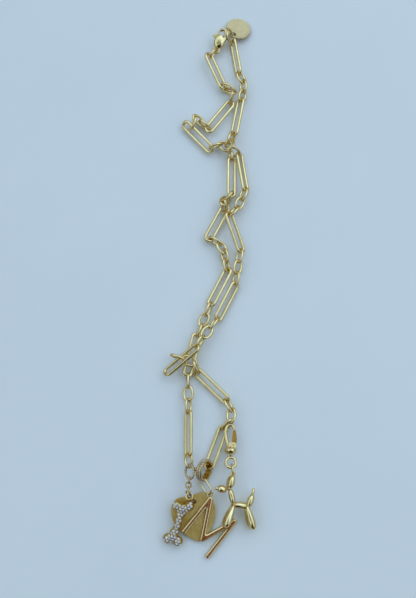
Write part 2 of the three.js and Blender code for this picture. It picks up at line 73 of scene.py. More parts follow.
# Where the zero of the necklace's layout lies. The first long link is laid at this place in it.
FIRST_LINK = Vector((3.3, 99.0, 2.7))
LAYOUT_ZERO = solid_middle("link_left_1") - FIRST_LINK


# ---- placing
def pose(centre, axis, width):
    """A placement whose Y runs along axis and X along width."""
    y = axis.normalized()
    z = width.cross(y).normalized()
    x = y.cross(z)
    placed = Matrix((x, y, z)).transposed().to_4x4()
    placed.translation = centre
    return placed


def lay(x, y, z, heading, rise=0.0, roll=0.0):
    """A placement in the layout: heading from +X, rise of its far end, roll of its left side."""
    level, lift = radians(heading), radians(rise)
    axis = Vector((cos(level) * cos(lift), sin(level) * cos(lift), sin(lift)))
    left = Vector((-sin(level), cos(level), 0))
    left.rotate(Quaternion(axis, radians(roll)))
    return pose(LAYOUT_ZERO + Vector((x, y, z)), axis, -left)


def shifted(x, y, z=0.0):
    """A placement at a point, without a turn."""
    return Matrix.Translation((x, y, z))


def spun(angle, axis):
    """A turn about an axis through the origin, in degrees."""
    return Matrix.Rotation(radians(angle), 4, axis)


def tilted(foot, height, angle, axis):
    """A placement for a charm that is drawn where it lies in the layout: raised by a height
    and tilted about its foot."""
    foot = Vector((*foot, 0))
    return (Matrix.Translation(LAYOUT_ZERO + foot + Vector((0, 0, height)))
            @ spun(angle, axis) @ Matrix.Translation(-foot))


def solid_pose(name):
    """The placement of a wire ring, read from its solid: long way, wide way and thin way."""
    centre = solid_middle(name)
    ways = np.linalg.svd(solid_points(name) - np.array(centre), full_matrices=False)[2]
    return pose(centre, Vector(ways[0]), Vector(ways[1]))


def only(piece):
    """Leaves edit mode and makes a piece the only one selected."""
    if bpy.context.object and bpy.context.object.mode != "OBJECT":
        bpy.ops.object.mode_set(mode="OBJECT")
    bpy.ops.object.select_all(action="DESELECT")
    piece.select_set(True)
    bpy.context.view_layer.objects.active = piece
    return piece


def added(name):
    """The primitive just added, named and the only one selected."""
    piece = bpy.context.object
    piece.name = name
    piece.data.name = name
    return only(piece)


def copied(piece, name):
    """A copy of a piece with its own mesh."""
    twin = piece.copy()
    twin.data = piece.data.copy()
    twin.name = name
    twin.data.name = name
    bpy.context.scene.collection.objects.link(twin)
    return twin


def moved(piece, placed):
    """Moves a piece's mesh and leaves its object at the origin."""
    only(piece)
    piece.matrix_world = placed
    bpy.ops.object.transform_apply(location=True, rotation=True, scale=True)
    return piece


def joined(name, parts):
    """Joins parts into one piece."""
    only(parts[0])
    for part in parts:
        part.select_set(True)
    bpy.ops.object.join()
    return added(name)


def handed_over(piece, placed, material, solids, body="necklace"):
    """Puts a finished piece in its place and finish, and lets it stand for its solids."""
    moved(piece, TO_METRES @ placed)
    piece.data.materials.clear()
    piece.data.materials.append(material)
    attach(piece, body)
    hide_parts(*solids)
    return piece


def polished(piece, placed, solids, body="necklace"):
    """Hands over a piece in polished gold."""
    return handed_over(piece, placed, polished_gold(), solids, body)


def jewelled(metalwork, jewels, placed, solid):
    """Hands over bead-set gold and its stones, which stand for one solid together."""
    handed_over(metalwork, placed, setting_gold(), [solid])
    handed_over(jewels, placed, clear_stone(), [solid])


def discarded(piece):
    """Removes a pattern or a cutter that has done its work."""
    bpy.data.objects.remove(piece)


# ---- shaping
def edit(piece):
    """Opens a piece in edit mode with all its points selected."""
    only(piece)
    bpy.ops.object.mode_set(mode="EDIT")
    bpy.ops.mesh.select_mode(type="VERT")
    bpy.ops.mesh.select_all(action="SELECT")


def pick(test, faces=False):
    """In edit mode, selects the vertices or faces that pass a test."""
    mesh = bmesh.from_edit_mesh(bpy.context.object.data)
    bpy.ops.mesh.select_mode(type="FACE" if faces else "VERT")
    bpy.ops.mesh.select_all(action="DESELECT")
    for item in mesh.faces if faces else mesh.verts:
        item.select_set(test(item))
    mesh.select_flush_mode()
    bmesh.update_edit_mesh(bpy.context.object.data)


def pulled(value):
    """Extrudes what is selected."""
    bpy.ops.mesh.extrude_region_move(TRANSFORM_OT_translate={"value": value})


def modified(piece, kind, **settings):
    """Adds a modifier and applies it."""
    only(piece)
    bpy.ops.object.modifier_add(type=kind)
    modifier = piece.modifiers[-1]
    for setting, value in settings.items():
        setattr(modifier, setting, value)
    bpy.ops.object.modifier_apply(modifier=modifier.name)
    return piece


def smooth(piece, angle=None):
    """Smooth shading; with an angle, flat faces stay flat beside their rounded edges."""
    only(piece)
    if angle is None:
        bpy.ops.object.shade_smooth()
        return piece
    bpy.ops.object.shade_smooth_by_angle(angle=radians(angle))
    return modified(piece, "WEIGHTED_NORMAL", keep_sharp=True, weight=90)


def chain_of_edges(name, points):
    """Edges drawn through the points from a single vertex. It stays in edit mode."""
    bpy.ops.mesh.primitive_plane_add(size=1)
    piece = added(name)
    edit(piece)
    bpy.ops.mesh.merge(type="CENTER")
    bpy.ops.transform.translate(value=points[0])
    for here, there in zip(points, points[1:]):
        pulled(Vector(there) - Vector(here))
    bpy.ops.mesh.select_all(action="SELECT")
    return piece


def turned(name, profile, steps=24):
    """A shape turned round Z from (radius, height) points that end on the axis or meet."""
    piece = chain_of_edges(name, [(radius, 0, height) for radius, height in profile])
    bpy.ops.mesh.spin(steps=steps, angle=2 * pi, center=(0, 0, 0), axis=(0, 0, 1))
    bpy.ops.mesh.select_all(action="SELECT")
    bpy.ops.mesh.remove_doubles(threshold=1e-3)
    bpy.ops.mesh.normals_make_consistent(inside=False)
    return smooth(piece)


def plate(name, corners, thick, edge, segments=4):
    """A flat plate of an outline in XY, centred on Z, with its edges rounded."""
    piece = chain_of_edges(name, [(x, y, -thick / 2) for x, y in corners])
    bpy.ops.mesh.edge_face_add()
    bpy.ops.mesh.select_all(action="SELECT")
    pulled((0, 0, thick))
    bpy.ops.mesh.select_all(action="SELECT")
    bpy.ops.mesh.normals_make_consistent(inside=False)
    if edge:
        rounded(piece, edge, segments)
    return only(piece)


def rounded(piece, edge, segments=4, angle=35):
    """Rounds the edges that are sharper than the angle."""
    modified(piece, "BEVEL", width=edge, segments=segments, limit_method="ANGLE",
             angle_limit=radians(angle), miter_outer="MITER_ARC")
    return smooth(piece, 30)


def pierced(piece, cutter):
    """Cuts one closed shape out of another."""
    modified(piece, "BOOLEAN", object=cutter, operation="DIFFERENCE", solver="EXACT")
    discarded(cutter)
    return piece


def drilled(piece, radius, x, y):
    """Drills a hole down through a flat piece."""
    bpy.ops.mesh.primitive_cylinder_add(vertices=32, radius=radius, depth=4, location=(x, y, 0))
    return pierced(piece, added("drill"))


def rivet(name, radius, reach, chamfer, steps, at):
    """A pin along Z, in its place, with a small chamfer at both ends."""
    end = [(0, reach), (radius - chamfer, reach), (radius, reach - 0.1)]
    pin = turned(name, [(across, -up) for across, up in end] + end[::-1], steps)
    return moved(pin, shifted(*at))


def bent_wire(name, points, radius, sizes):
    """A round wire bent through the points, with its radius scaled at each."""
    bpy.ops.curve.primitive_bezier_curve_add()
    piece = added(name)
    curve = piece.data
    curve.splines[0].bezier_points.add(len(points) - 2)
    knots = curve.splines[0].bezier_points
    for knot, place, size in zip(knots, points, sizes):
        knot.co = (*place, 0)
        knot.handle_left_type = knot.handle_right_type = "AUTO"
        knot.radius = size
    curve.resolution_u = 8
    curve.bevel_depth = radius
    curve.bevel_resolution = 5
    curve.use_fill_caps = True
    bpy.ops.object.convert(target="MESH")
    return added(name)


def resized(piece, scale):
    """Scales a piece's mesh about the origin."""
    edit(piece)
    bpy.ops.transform.resize(value=scale, center_override=(0, 0, 0))
    return only(piece)


def ball(name, radius, at=(0, 0, 0), scale=(1, 1, 1), rings=12):
    """A ball, or an egg when it is scaled, in its place."""
    bpy.ops.mesh.primitive_uv_sphere_add(segments=2 * rings, ring_count=rings, radius=radius)
    piece = resized(added(name), scale)
    return smooth(moved(piece, Matrix.Translation(at)))


def cast(piece, grain, rounds):
    """Melts overlapping parts into one skin with soft inner corners, as a casting has. grain:
    the size of its faces, in millimetres. rounds: how often it is smoothed."""
    modified(piece, "REMESH", mode="VOXEL", voxel_size=grain)
    modified(piece, "SMOOTH", factor=0.5, iterations=rounds)
    return smooth(piece)


def wire_ring(name, length, width, wire, bends=12, sides=16):
    """A closed wire ring, long along Y: half a torus, drawn out and mirrored."""
    bpy.ops.mesh.primitive_torus_add(major_segments=2 * bends, minor_segments=sides,
                                     major_radius=(width - wire) / 2, minor_radius=wire / 2)
    piece = added(name)
    edit(piece)
    pick(lambda point: point.co.y < -1e-3)
    bpy.ops.mesh.delete(type="VERT")
    bpy.ops.mesh.select_all(action="SELECT")
    straight = (length - width) / 2
    bpy.ops.transform.translate(value=(0, straight, 0))
    pick(lambda point: point.co.y < straight + 1e-3)
    pulled((0, -straight, 0))
    bpy.ops.object.mode_set(mode="OBJECT")
    modified(piece, "MIRROR", use_axis=(False, True, False), merge_threshold=1e-3)
    return smooth(piece)


def oval_ring(name, length, width, wire):
    """A closed wire bent to an oval, long along Y."""
    bpy.ops.curve.primitive_bezier_circle_add(radius=0.5)
    piece = added(name)
    bpy.ops.object.mode_set(mode="EDIT")
    bpy.ops.curve.select_all(action="SELECT")
    bpy.ops.transform.resize(value=(width - wire, length - wire, 1), center_override=(0, 0, 0))
    only(piece)
    piece.data.resolution_u = 9
    piece.data.bevel_depth = wire / 2
    piece.data.bevel_resolution = 6
    bpy.ops.object.convert(target="MESH")
    return smooth(added(name))


# ---- finishes
def linear(hex_colour):
    """A linear colour from an sRGB hex value."""
    parts = [int(hex_colour[i:i + 2], 16) / 255 for i in (1, 3, 5)]
    return tuple(p / 12.92 if p <= 0.04045 else ((p + 0.055) / 1.055) ** 2.4 for p in parts)


def node(tree, kind, inputs=None, **settings):
    """Adds a shader node, with its settings, and its inputs as values or as links."""
    made = tree.nodes.new("ShaderNode" + kind)
    for setting, value in settings.items():
        setattr(made, setting, value)
    for socket, value in (inputs or {}).items():
        if isinstance(value, bpy.types.NodeSocket):
            tree.links.new(value, made.inputs[socket])
        else:
            made.inputs[socket].default_value = value
    return made


def blank(name):
    """A new material with an empty node tree; returns it and its tree."""
    material = bpy.data.materials.new(name)
    material.use_nodes = True
    material.node_tree.nodes.clear()
    return material, material.node_tree


def metal(name, tint_name, grain, rough, bump, stretch=(1, 1, 1), turn=0.0):
    """Gold whose tone, gloss and surface change together over a grain of the given size, in
    metres: stretched for a brushed face, even for a buffed one. Seen almost edge on, it goes
    brown. bump: how strong and how deep the grain is."""
    if name in bpy.data.materials:
        return bpy.data.materials[name]
    colours = bpy.context.scene.necklace_finish
    light = getattr(colours, tint_name + "_light")
    deep = getattr(colours, tint_name + "_deep")
    material, tree = blank(name)
    place = node(tree, "TexCoord").outputs["Object"]
    turned_place = node(tree, "Mapping", {
        "Vector": place, "Rotation": (0, 0, radians(turn))}).outputs["Vector"]
    mapped = node(tree, "Mapping", {
        "Vector": turned_place, "Scale": stretch}).outputs["Vector"]
    fine = node(tree, "TexNoise", {
        "Vector": mapped, "Scale": 1 / grain, "Detail": 3.0, "Roughness": 0.6}).outputs["Fac"]
    # A slow change of tone over some 5 mm breaks up the grain.
    broad = node(tree, "TexNoise", {
        "Vector": place, "Scale": 180.0, "Detail": 2.0}).outputs["Fac"]
    both = node(tree, "Math", {0: fine, 1: broad}, operation="MULTIPLY").outputs[0]
    share = node(tree, "MapRange", {
        "Value": both, "From Min": 0.15, "From Max": 0.4}).outputs["Result"]
    colour = node(tree, "Mix", {
        0: share, 6: (*deep, 1), 7: (*light, 1)}, data_type="RGBA").outputs[2]
    gloss = node(tree, "MapRange", {
        "Value": fine, "From Min": 0.3, "From Max": 0.7,
        "To Min": rough[0], "To Max": rough[1]}).outputs["Result"]
    relief = node(tree, "Bump", {
        "Height": fine, "Strength": bump[0], "Distance": bump[1]}).outputs["Normal"]
    shader = node(tree, "BsdfPrincipled", {
        "Base Color": colour, "Metallic": 1.0, "Specular Tint": (*colours.edge, 1),
        "Roughness": gloss, "Normal": relief})
    node(tree, "OutputMaterial", {"Surface": shader.outputs[0]})
    return material


def polished_gold():
    """14-carat yellow gold, cast and buffed: a mirror with the faint ripple of the wheel."""
    return metal("polished_yellow_gold", "gold", grain=0.0007, rough=(0.10, 0.19),
                 bump=(0.25, 0.00002))


def spring_gold():
    """Hard-rolled spring gold: a flat mirror that is redder and deeper than the cast parts."""
    return metal("deep_spring_gold", "spring", grain=0.0005, rough=(0.16, 0.26),
                 bump=(0.25, 0.00002))


def brushed_gold():
    """The same gold drawn over a coarse belt: straight fine scratches and a soft sheen. The
    scratches are drawn 0.26 mm apart, coarser than real ones, so that they show."""
    return metal("brushed_yellow_gold", "brushed", grain=0.00026, rough=(0.28, 0.50),
                 bump=(0.8, 0.00005), stretch=(1, 0.06, 1), turn=-22)


def satin_gold():
    """Stamped gold sheet, blasted with fine grit: pale and without a sharp reflection."""
    return metal("satin_yellow_gold", "satin", grain=0.00018, rough=(0.38, 0.55),
                 bump=(0.35, 0.00003))


def setting_gold():
    """Gold raised into beads round the stones: bright, and a little rough from the graver."""
    return metal("bead_set_gold", "setting", grain=0.0004, rough=(0.14, 0.30),
                 bump=(0.4, 0.00003))


def clear_stone():
    """Cubic zirconia, cut and polished: cold white, with flashes from its facets."""
    if "clear_zirconia" in bpy.data.materials:
        return bpy.data.materials["clear_zirconia"]
    material, tree = blank("clear_zirconia")
    place = node(tree, "TexCoord").outputs["Object"]
    cloud = node(tree, "TexNoise", {
        "Vector": place, "Scale": 900.0, "Detail": 1.0}).outputs["Fac"]
    share = node(tree, "MapRange", {
        "Value": cloud, "From Min": 0.35, "From Max": 0.65}).outputs["Result"]
    colours = bpy.context.scene.necklace_finish
    colour = node(tree, "Mix", {
        0: share, 6: (*colours.stone_shade, 1), 7: (*colours.stone_light, 1)},
        data_type="RGBA").outputs[2]
    shader = node(tree, "BsdfPrincipled", {
        "Base Color": colour, "Roughness": 0.03, "IOR": 2.16, "Transmission Weight": 0.12})
    node(tree, "OutputMaterial", {"Surface": shader.outputs[0]})
    return material


def painted_board():
    """Board under matt pale blue paint, with the faint mottle of a roller."""
    material, tree = blank("matt_blue_board")
    stage = bpy.context.scene.necklace_stage
    place = node(tree, "TexCoord").outputs["Object"]
    mottle = node(tree, "TexNoise", {
        "Vector": place, "Scale": 18.0, "Detail": 4.0}).outputs["Fac"]
    colour = node(tree, "Mix", {
        0: mottle, 6: (*stage.floor_shade, 1), 7: (*stage.floor_light, 1)},
        data_type="RGBA").outputs[2]
    grit = node(tree, "TexNoise", {
        "Vector": place, "Scale": 1500.0, "Detail": 2.0}).outputs["Fac"]
    relief = node(tree, "Bump", {
        "Height": grit, "Strength": 0.15, "Distance": 0.00005}).outputs["Normal"]
    shader = node(tree, "BsdfPrincipled", {
        "Base Color": colour, "Roughness": 0.6, "Normal": relief})
    node(tree, "OutputMaterial", {"Surface": shader.outputs[0]})
    return material


# ---- sizes and colours
def mm(name, description, default):
    """A size in millimetres."""
    return bpy.props.FloatProperty(name=name, description=description + ", in millimetres",
                                   default=default, min=0.0, subtype="DISTANCE_CAMERA")


def tint(name, description, hex_colour):
    """A colour, given as its sRGB hex value."""
    return bpy.props.FloatVectorProperty(name=name, description=description, size=3, min=0.0,
                                         max=1.0, subtype="COLOR", default=linear(hex_colour))


class NecklaceChain(bpy.types.PropertyGroup):
    """Sizes of the chain, in millimetres"""

    long_length: mm("Long link", "Outer length of a long link", 18.2)
    long_width: mm("Long link width", "Outer width of a long link", 4.4)
    long_wire: mm("Long link wire", "Wire of a long link", 1.25)
    small_length: mm("Small link", "Outer length of a small link", 6.6)
    small_width: mm("Small link width", "Outer width of a small link", 4.5)
    small_wire: mm("Small link wire", "Wire of a small link", 1.05)
    play: mm("Play", "Gap where one link hooks another", 0.1)


class NecklaceCharms(bpy.types.PropertyGroup):
    """Sizes of the charms and stones, in millimetres"""

    tag_radius: mm("Tag radius", "Radius of the round tag", 5.4)
    tag_thick: mm("Tag thickness", "Thickness of the round tag", 0.6)
    heart_thick: mm("Heart thickness", "Thickness of the heart", 1.1)
    letter_bar: mm("Letter bar", "Width of the letter's bars", 1.8)
    letter_thick: mm("Letter thickness", "Thickness of the letter", 1.5)
    stone: mm("Stone", "Width of a stone on the bone", 1.15)
    small_stone: mm("Small stone", "Width of a stone on the holder", 0.95)


class NecklaceFinish(bpy.types.PropertyGroup):
    """Colours of the metal and the stones"""

    gold_light: tint("Gold", "Polished gold where it is brightest", "#FAE9BA")
    gold_deep: tint("Gold, deep", "Polished gold in the hollows of its ripple", "#EAD69A")
    brushed_light: tint("Brushed gold", "Crests of the brushed scratches", "#F0D68E")
    brushed_deep: tint("Brushed gold, deep", "Bottoms of the brushed scratches", "#CCA858")
    spring_light: tint("Spring gold", "The swivel's gate where it is brightest", "#D2A94E")
    spring_deep: tint("Spring gold, deep", "The swivel's gate where it is deepest", "#9A7026")
    setting_light: tint("Setting", "Gold beads round the stones", "#EDD792")
    setting_deep: tint("Setting, deep", "Gold between the beads", "#B38D3C")
    satin_light: tint("Satin gold", "Satin sheet where it is brightest", "#E2D1AA")
    satin_deep: tint("Satin gold, deep", "Satin sheet in its pits", "#D0BE8E")
    edge: tint("Edge", "Gold seen almost edge on", "#C38B42")
    stone_light: tint("Stone", "Clear stones", "#FBFAFF")
    stone_shade: tint("Stone, shaded", "Clear stones in the shade", "#D3D4DE")


class NecklaceStage(bpy.types.PropertyGroup):
    """Floor and light"""

    floor_light: tint("Floor", "Floor where it is brightest", "#F5F9FC")
    floor_shade: tint("Floor, shaded", "Floor where it is darkest", "#EEF3F9")
    backdrop: tint("Backdrop", "What shows behind the floor in a low view", "#BCCFDD")
    sky: bpy.props.FloatProperty(
        name="Sky", description="Strength of the even light", default=1.1, min=0.0)
    window: bpy.props.FloatProperty(
        name="Window", description="Power of the soft window light", default=1.65, min=0.0,
        unit="POWER")
    window_colour: tint("Window colour", "Colour of the window light", "#D8EBFF")
    elevation: bpy.props.FloatProperty(
        name="Camera elevation", description="Height of the camera over the floor's plane",
        default=radians(77), subtype="ANGLE")
    distance: bpy.props.FloatProperty(
        name="Camera distance", description="From the camera to the layout's middle",
        default=0.310, min=0.0, subtype="DISTANCE", unit="LENGTH")
    lens: bpy.props.FloatProperty(
        name="Lens", description="Focal length of the camera", default=46.6, min=1.0,
        subtype="DISTANCE_CAMERA", unit="CAMERA")


# ---- chain
class NECKLACE_OT_long_links(bpy.types.Operator):
    """Models one long link and lays a copy of it on each long link's solid"""

    bl_idname = "necklace.long_links"
    bl_label = "Long Links"

    def execute(self, context):
        sizes = context.scene.necklace_chain
        link = wire_ring("long_link", sizes.long_length, sizes.long_width, sizes.long_wire, 16, 20)
        for name in sorted(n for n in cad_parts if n.startswith("link_")):
            polished(copied(link, "long_" + name), solid_pose(name), [name])
        discarded(link)
        return {"FINISHED"}


# Runs of small links between neighbouring long links. A run hangs in an even bow of 3 links
# unless via lists the points between its links. inset: how far along the next long link's
# slot the last small link has slid. start: where the first one lies, if it has slid as well.
RUNS = {
    "left_1": {"via": [(9.3, 90.8, 2.1), (10.3, 88.0, 4.3)]},
    "left_2": {"via": [(-2.7, 75.3, 2.2), (-5.2, 76.9, 3.6)], "inset": 2.9},
    "left_3": {},
    "left_4": {"via": [(7.4, 41.4, 2.2), (6.4, 39.0, 3.9)], "inset": 1.4},
    "left_5": {"via": [(4.6, 22.5, 2.3), (6.5, 19.1, 2.3), (7.1, 15.3, 2.3)]},
    "left_6": {},
    "left_7": {},
    "right_1": {},
    "right_2": {"via": [(8.9, 66.5, 4.2), (9.0, 62.5, 5.9)]},
    "right_3": {},
    "right_4": {},
    "right_5": {},
    "right_6": {"via": [(-9.5, -24.9, 4.0), (-5.2, -26.2, 4.2)], "start": (-13.8, -23.4, 4.0)},
    "right_7": {"via": [(9.0, -44.3, 2.4), (8.8, -48.5, 3.3)]},
}


def slot_end(link, run_middle, sizes, inset=0.0):
    """The slot end of a long link that is nearer to a run: its bow's centre and normal."""
    placed = solid_pose(link)
    centre, along = placed.translation, placed.col[1].to_3d()
    if along.dot(run_middle - centre) < 0:
        along = -along
    reach = (sizes.long_length - sizes.long_width) / 2 - inset
    return centre + along * reach, placed.col[2].to_3d()


def even_bow(start, end, pitch):
    """The ends of 3 links, a pitch apart on a level arc that bows to the left from start to
    end. Where they can't reach, they are spread evenly on a straight line."""
    chord = end - start
    along = chord.normalized()
    side = Vector((0, 0, 1)).cross(chord).normalized()
    pitch = max(pitch, chord.length / 3)
    turn = acos(min(1.0, (chord.length / pitch - 1) / 2))
    first = start + (along * cos(turn) + side * sin(turn)) * pitch
    return [start, first, first + along * pitch, end]


def hook_in_bow(bow, pull, sizes):
    """Where a small link meets a long link's bow when it is pulled the given way."""
    centre, normal = bow
    # The bow's own radius, less half the way between two wires that touch, and half the play.
    reach = ((sizes.long_width - sizes.long_wire) / 2
             - (sizes.long_wire + sizes.small_wire) / 4 - sizes.play / 2)
    flat = pull - normal * pull.dot(normal)
    return centre + flat.normalized() * reach


def run_hooks(name, row, sizes):
    """The points where a run's links hook, and the normals of the two long links."""
    side, number = name.split("_")
    middle = solid_middle("run_" + name)
    near = slot_end(f"link_{side}_{number}", middle, sizes)
    far = slot_end(f"link_{side}_{int(number) + 1}", middle, sizes, row.get("inset", 0.0))
    via = [LAYOUT_ZERO + Vector(point) for point in row.get("via", [])]
    pitch = sizes.small_length - 2 * sizes.small_wire - sizes.play
    pull = far[0] - near[0]
    back = -pull
    for _ in range(6):  # the ends shift with the pull on them, which settles in a few rounds
        start = hook_in_bow(near, pull, sizes)
        if "start" in row:
            start = LAYOUT_ZERO + Vector(row["start"])
        end = hook_in_bow(far, back, sizes)
        hooks = [start, *via, end] if via else even_bow(start, end, pitch)
        pull = hooks[1] - hooks[0]
        back = hooks[-2] - hooks[-1]
    return hooks, near[1], far[1]


def flattened(vector, axis):
    """The way of a vector square to the axis."""
    return (vector - axis * vector.dot(axis)).normalized()


def run_poses(name, row, sizes):
    """The placements of a run's links: each turned a quarter turn from its neighbours."""
    hooks, near_normal, far_normal = run_hooks(name, row, sizes)
    axes = [(there - here).normalized() for here, there in zip(hooks, hooks[1:])]

    def quarter_turns(twist):
        """The links' wide ways: a quarter turn from link to link, and the twist as well."""
        width, placed = near_normal, []
        for axis in axes:
            width = flattened(width, axis)
            width.rotate(Quaternion(axis, twist))
            placed.append(width)
            width = width.cross(axis)
        return placed

    last, wanted = axes[-1], flattened(far_normal, axes[-1])
    reached = quarter_turns(0.0)[-1]
    miss = np.arctan2(reached.cross(wanted).dot(last), reached.dot(wanted))
    miss = (miss + pi / 2) % pi - pi / 2
    widths = quarter_turns(miss / (len(axes) + 1))
    return [pose(here.lerp(there, 0.5), axis, width)
            for here, there, axis, width in zip(hooks, hooks[1:], axes, widths)]


class NECKLACE_OT_small_links(bpy.types.Operator):
    """Models one small link and hooks copies of it through each run of the chain"""

    bl_idname = "necklace.small_links"
    bl_label = "Small Links"

    def execute(self, context):
        sizes = context.scene.necklace_chain
        link = oval_ring("small_link", sizes.small_length, sizes.small_width, sizes.small_wire)
        for name, row in RUNS.items():
            for number, placed in enumerate(run_poses(name, row, sizes), 1):
                polished(copied(link, f"small_{name}_{number}"), placed, ["run_" + name])
        discarded(link)
        return {"FINISHED"}


# Outer length, width and wire of the single rings.
RINGS = {
    "clasp_ring": (5.8, 4.5, 0.95),
    "end_ring": (7.6, 5.0, 0.9),
    "holder_link": (7.0, 4.5, 0.95),
    "bone_ring": (3.0, 2.9, 0.5),
    "heart_ring": (6.2, 4.0, 0.6),
    "letter_ring": (7.9, 4.2, 0.65),
    "dog_ring": (4.6, 3.8, 0.6),
}


class NECKLACE_OT_rings(bpy.types.Operator):
    """Models the single rings that join clasps, charms and chain"""

    bl_idname = "necklace.rings"
    bl_label = "Single Rings"

    def execute(self, context):
        for name, size in RINGS.items():
            polished(oval_ring("wire_" + name, *size), solid_pose(name), [name])
        return {"FINISHED"}


# ---- lobster clasp and tag
class NECKLACE_OT_lobster_clasp(bpy.types.Operator):
    """Models the lobster clasp: a cast body with a hook and an eye, and its sprung lever"""

    bl_idname = "necklace.lobster_clasp"
    bl_label = "Lobster Clasp"

    def execute(self, context):
        placed = lay(5.0, 113.2, 3.1, heading=72, rise=12)
        belly = ball("clasp_belly", 1.0, (0, -0.5, 0), scale=(2.5, 3.2, 1.35), rings=16)
        hook = bent_wire("clasp_hook", [(1.0, -1.2), (1.8, 0.9), (2.4, 2.6), (2.0, 4.2),
                                        (0.7, 4.9), (-0.6, 4.6), (-1.1, 3.9)],
                         radius=0.6, sizes=[1.8, 1.55, 1.25, 1.1, 1.05, 1.0, 0.8])
        eye = wire_ring("clasp_eye", length=3.3, width=3.2, wire=0.8)
        moved(eye, shifted(0, -4.4))
        body = joined("clasp_body_cast", [belly, hook, eye])
        cast(body, grain=0.09, rounds=5)
        slot = plate("clasp_slot", [(0.5, -1.8), (0.85, 3.6), (-4, 3.6), (-4, -2.2),
                                    (-0.5, -2.2)], thick=1.3, edge=0)
        pierced(body, slot)
        pin = rivet("clasp_pin", 0.5, reach=1.05, chamfer=0.08, steps=16, at=(-1.0, -0.7))
        body = joined("clasp_body_cast", [body, pin])
        smooth(body, 35)
        polished(body, placed, ["clasp_body"])
        lever = plate("clasp_lever_cast", [
            (-0.5, -1.6), (-0.15, -0.9), (-0.3, 0.2), (-0.9, 1.4), (-0.8, 3.75), (-1.7, 3.75),
            (-2.2, 2.0), (-3.3, 1.8), (-3.4, 1.35), (-3.3, 0.9), (-2.2, 0.5), (-1.9, -0.8),
            (-1.6, -1.5)], thick=0.9, edge=0.2)
        polished(lever, placed, ["clasp_lever"], "lever")
        return {"FINISHED"}


class NECKLACE_OT_tag(bpy.types.Operator):
    """Models the round tag: a stamped disc with a raised rim, two rings and a hole"""

    bl_idname = "necklace.tag"
    bl_label = "Round Tag"

    def execute(self, context):
        sizes = context.scene.necklace_charms
        half, radius = sizes.tag_thick / 2, sizes.tag_radius
        top = [(0, half - 0.14), (1.8, half - 0.14), (2.0, half - 0.02), (2.2, half - 0.14),
               (4.3, half - 0.12), (4.45, half - 0.04), (4.6, half - 0.1), (4.85, half - 0.06),
               (5.0, half), (radius - 0.15, half), (radius, half - 0.15)]
        bottom = [(across, -up) for across, up in reversed(top)]
        disc = turned("round_tag", top + bottom, 72)
        drilled(disc, 1.1, 0, -3.9)
        smooth(disc, 35)
        placed = lay(13.1, 119.9, 1.35, heading=58, rise=-11)
        handed_over(disc, placed, satin_gold(), ["tag"])
        return {"FINISHED"}


# ---- stones
# A stone's table radius, crown height and back depth, and a bead's radius, as shares of the
# stone's width.
TABLE, CROWN, BACK, BEAD = 0.29, 0.2, 0.35, 0.16
# How far beads sit to either side of a row of stones, as a share of the stones' width: on a
# band, and on a ring's face.
BAND_SIDE, FACE_SIDE = 0.42, 0.36


def cut_stone(name, width):
    """A round stone: a table turned half a facet from the girdle, and a pointed back."""
    bpy.ops.mesh.primitive_cone_add(vertices=8, radius1=width / 2, radius2=width * TABLE,
                                    depth=width * CROWN, location=(0, 0, width * CROWN / 2))
    stone = added(name)
    edit(stone)
    pick(lambda face: face.normal.z > 0.9, faces=True)
    bpy.ops.transform.rotate(value=radians(22.5), orient_axis="Z", center_override=(0, 0, 0))
    pick(lambda face: face.normal.z < -0.9, faces=True)
    pulled((0, 0, -width * BACK))
    bpy.ops.mesh.merge(type="CENTER")
    bpy.ops.mesh.select_all(action="SELECT")
    bpy.ops.mesh.quads_convert_to_tris()
    return only(stone)


def spread(name, shape, places):
    """Copies of a shape at the placements, as one piece."""
    parts = []
    for number, placed in enumerate(places):
        part = copied(shape, f"{name}_{number}")
        part.data.transform(placed)
        parts.append(part)
    discarded(shape)
    return joined(name, parts)


def standing(point, normal):
    """A placement at a point with Z along the normal."""
    placed = normal.to_track_quat("Z", "Y").to_matrix().to_4x4()
    placed.translation = point
    return placed


def stones_and_beads(name, width, stones, beads, bead=BEAD):
    """Copies of a cut stone and of a bead at their placements, as two pieces."""
    gems = spread(name + "_stones", cut_stone("stone", width), stones)
    grains = spread(name + "_beads", ball("bead", width * bead, rings=4), beads)
    return gems, grains


def set_round_band(name, radius, rows, count, stone_width, flare=0.0):
    """Stones and beads round a band about Z: rows are their heights along it, which grow
    towards -Y by the flare."""
    stones, beads = [], []
    for row, height in enumerate(rows):
        for i in range(count):
            angle = 2 * pi * (i + row / 2) / count
            out = Vector((cos(angle), sin(angle), 0))
            rise = Vector((0, 0, height * (1 - flare * out.y)))
            stones.append(standing(out * radius + rise, out))
            beside = Vector((cos(angle + pi / count), sin(angle + pi / count), 0))
            for edge in (-BAND_SIDE, BAND_SIDE):
                beads.append(Matrix.Translation(
                    beside * radius + rise + Vector((0, 0, edge * stone_width))))
    return stones_and_beads(name, stone_width, stones, beads)


def set_round_face(name, radius, height, count, stone_width, flare=0.0):
    """Stones and beads in a circle on a ring's upper face, which rises towards -Y by the
    flare."""
    stones, beads = [], []
    for i in range(2 * count):
        angle = pi * i / count
        out = Vector((cos(angle), sin(angle), 0))
        rise = Vector((0, 0, height * (1 - flare * out.y)))
        if i % 2:
            for edge in (-FACE_SIDE, FACE_SIDE):
                beads.append(Matrix.Translation(out * (radius + edge * stone_width) + rise))
        else:
            stones.append(Matrix.Translation(out * radius + rise))
    return stones_and_beads(name, stone_width, stones, beads, bead=0.2)


# ---- charm holder
BAND_STONES = 26  # stones in each row of the holder's band, and round its rim
BAND_FLARE = 0.2  # how much taller than its middle the band is at its foot, as a share
BAIL_WIRE = 0.55
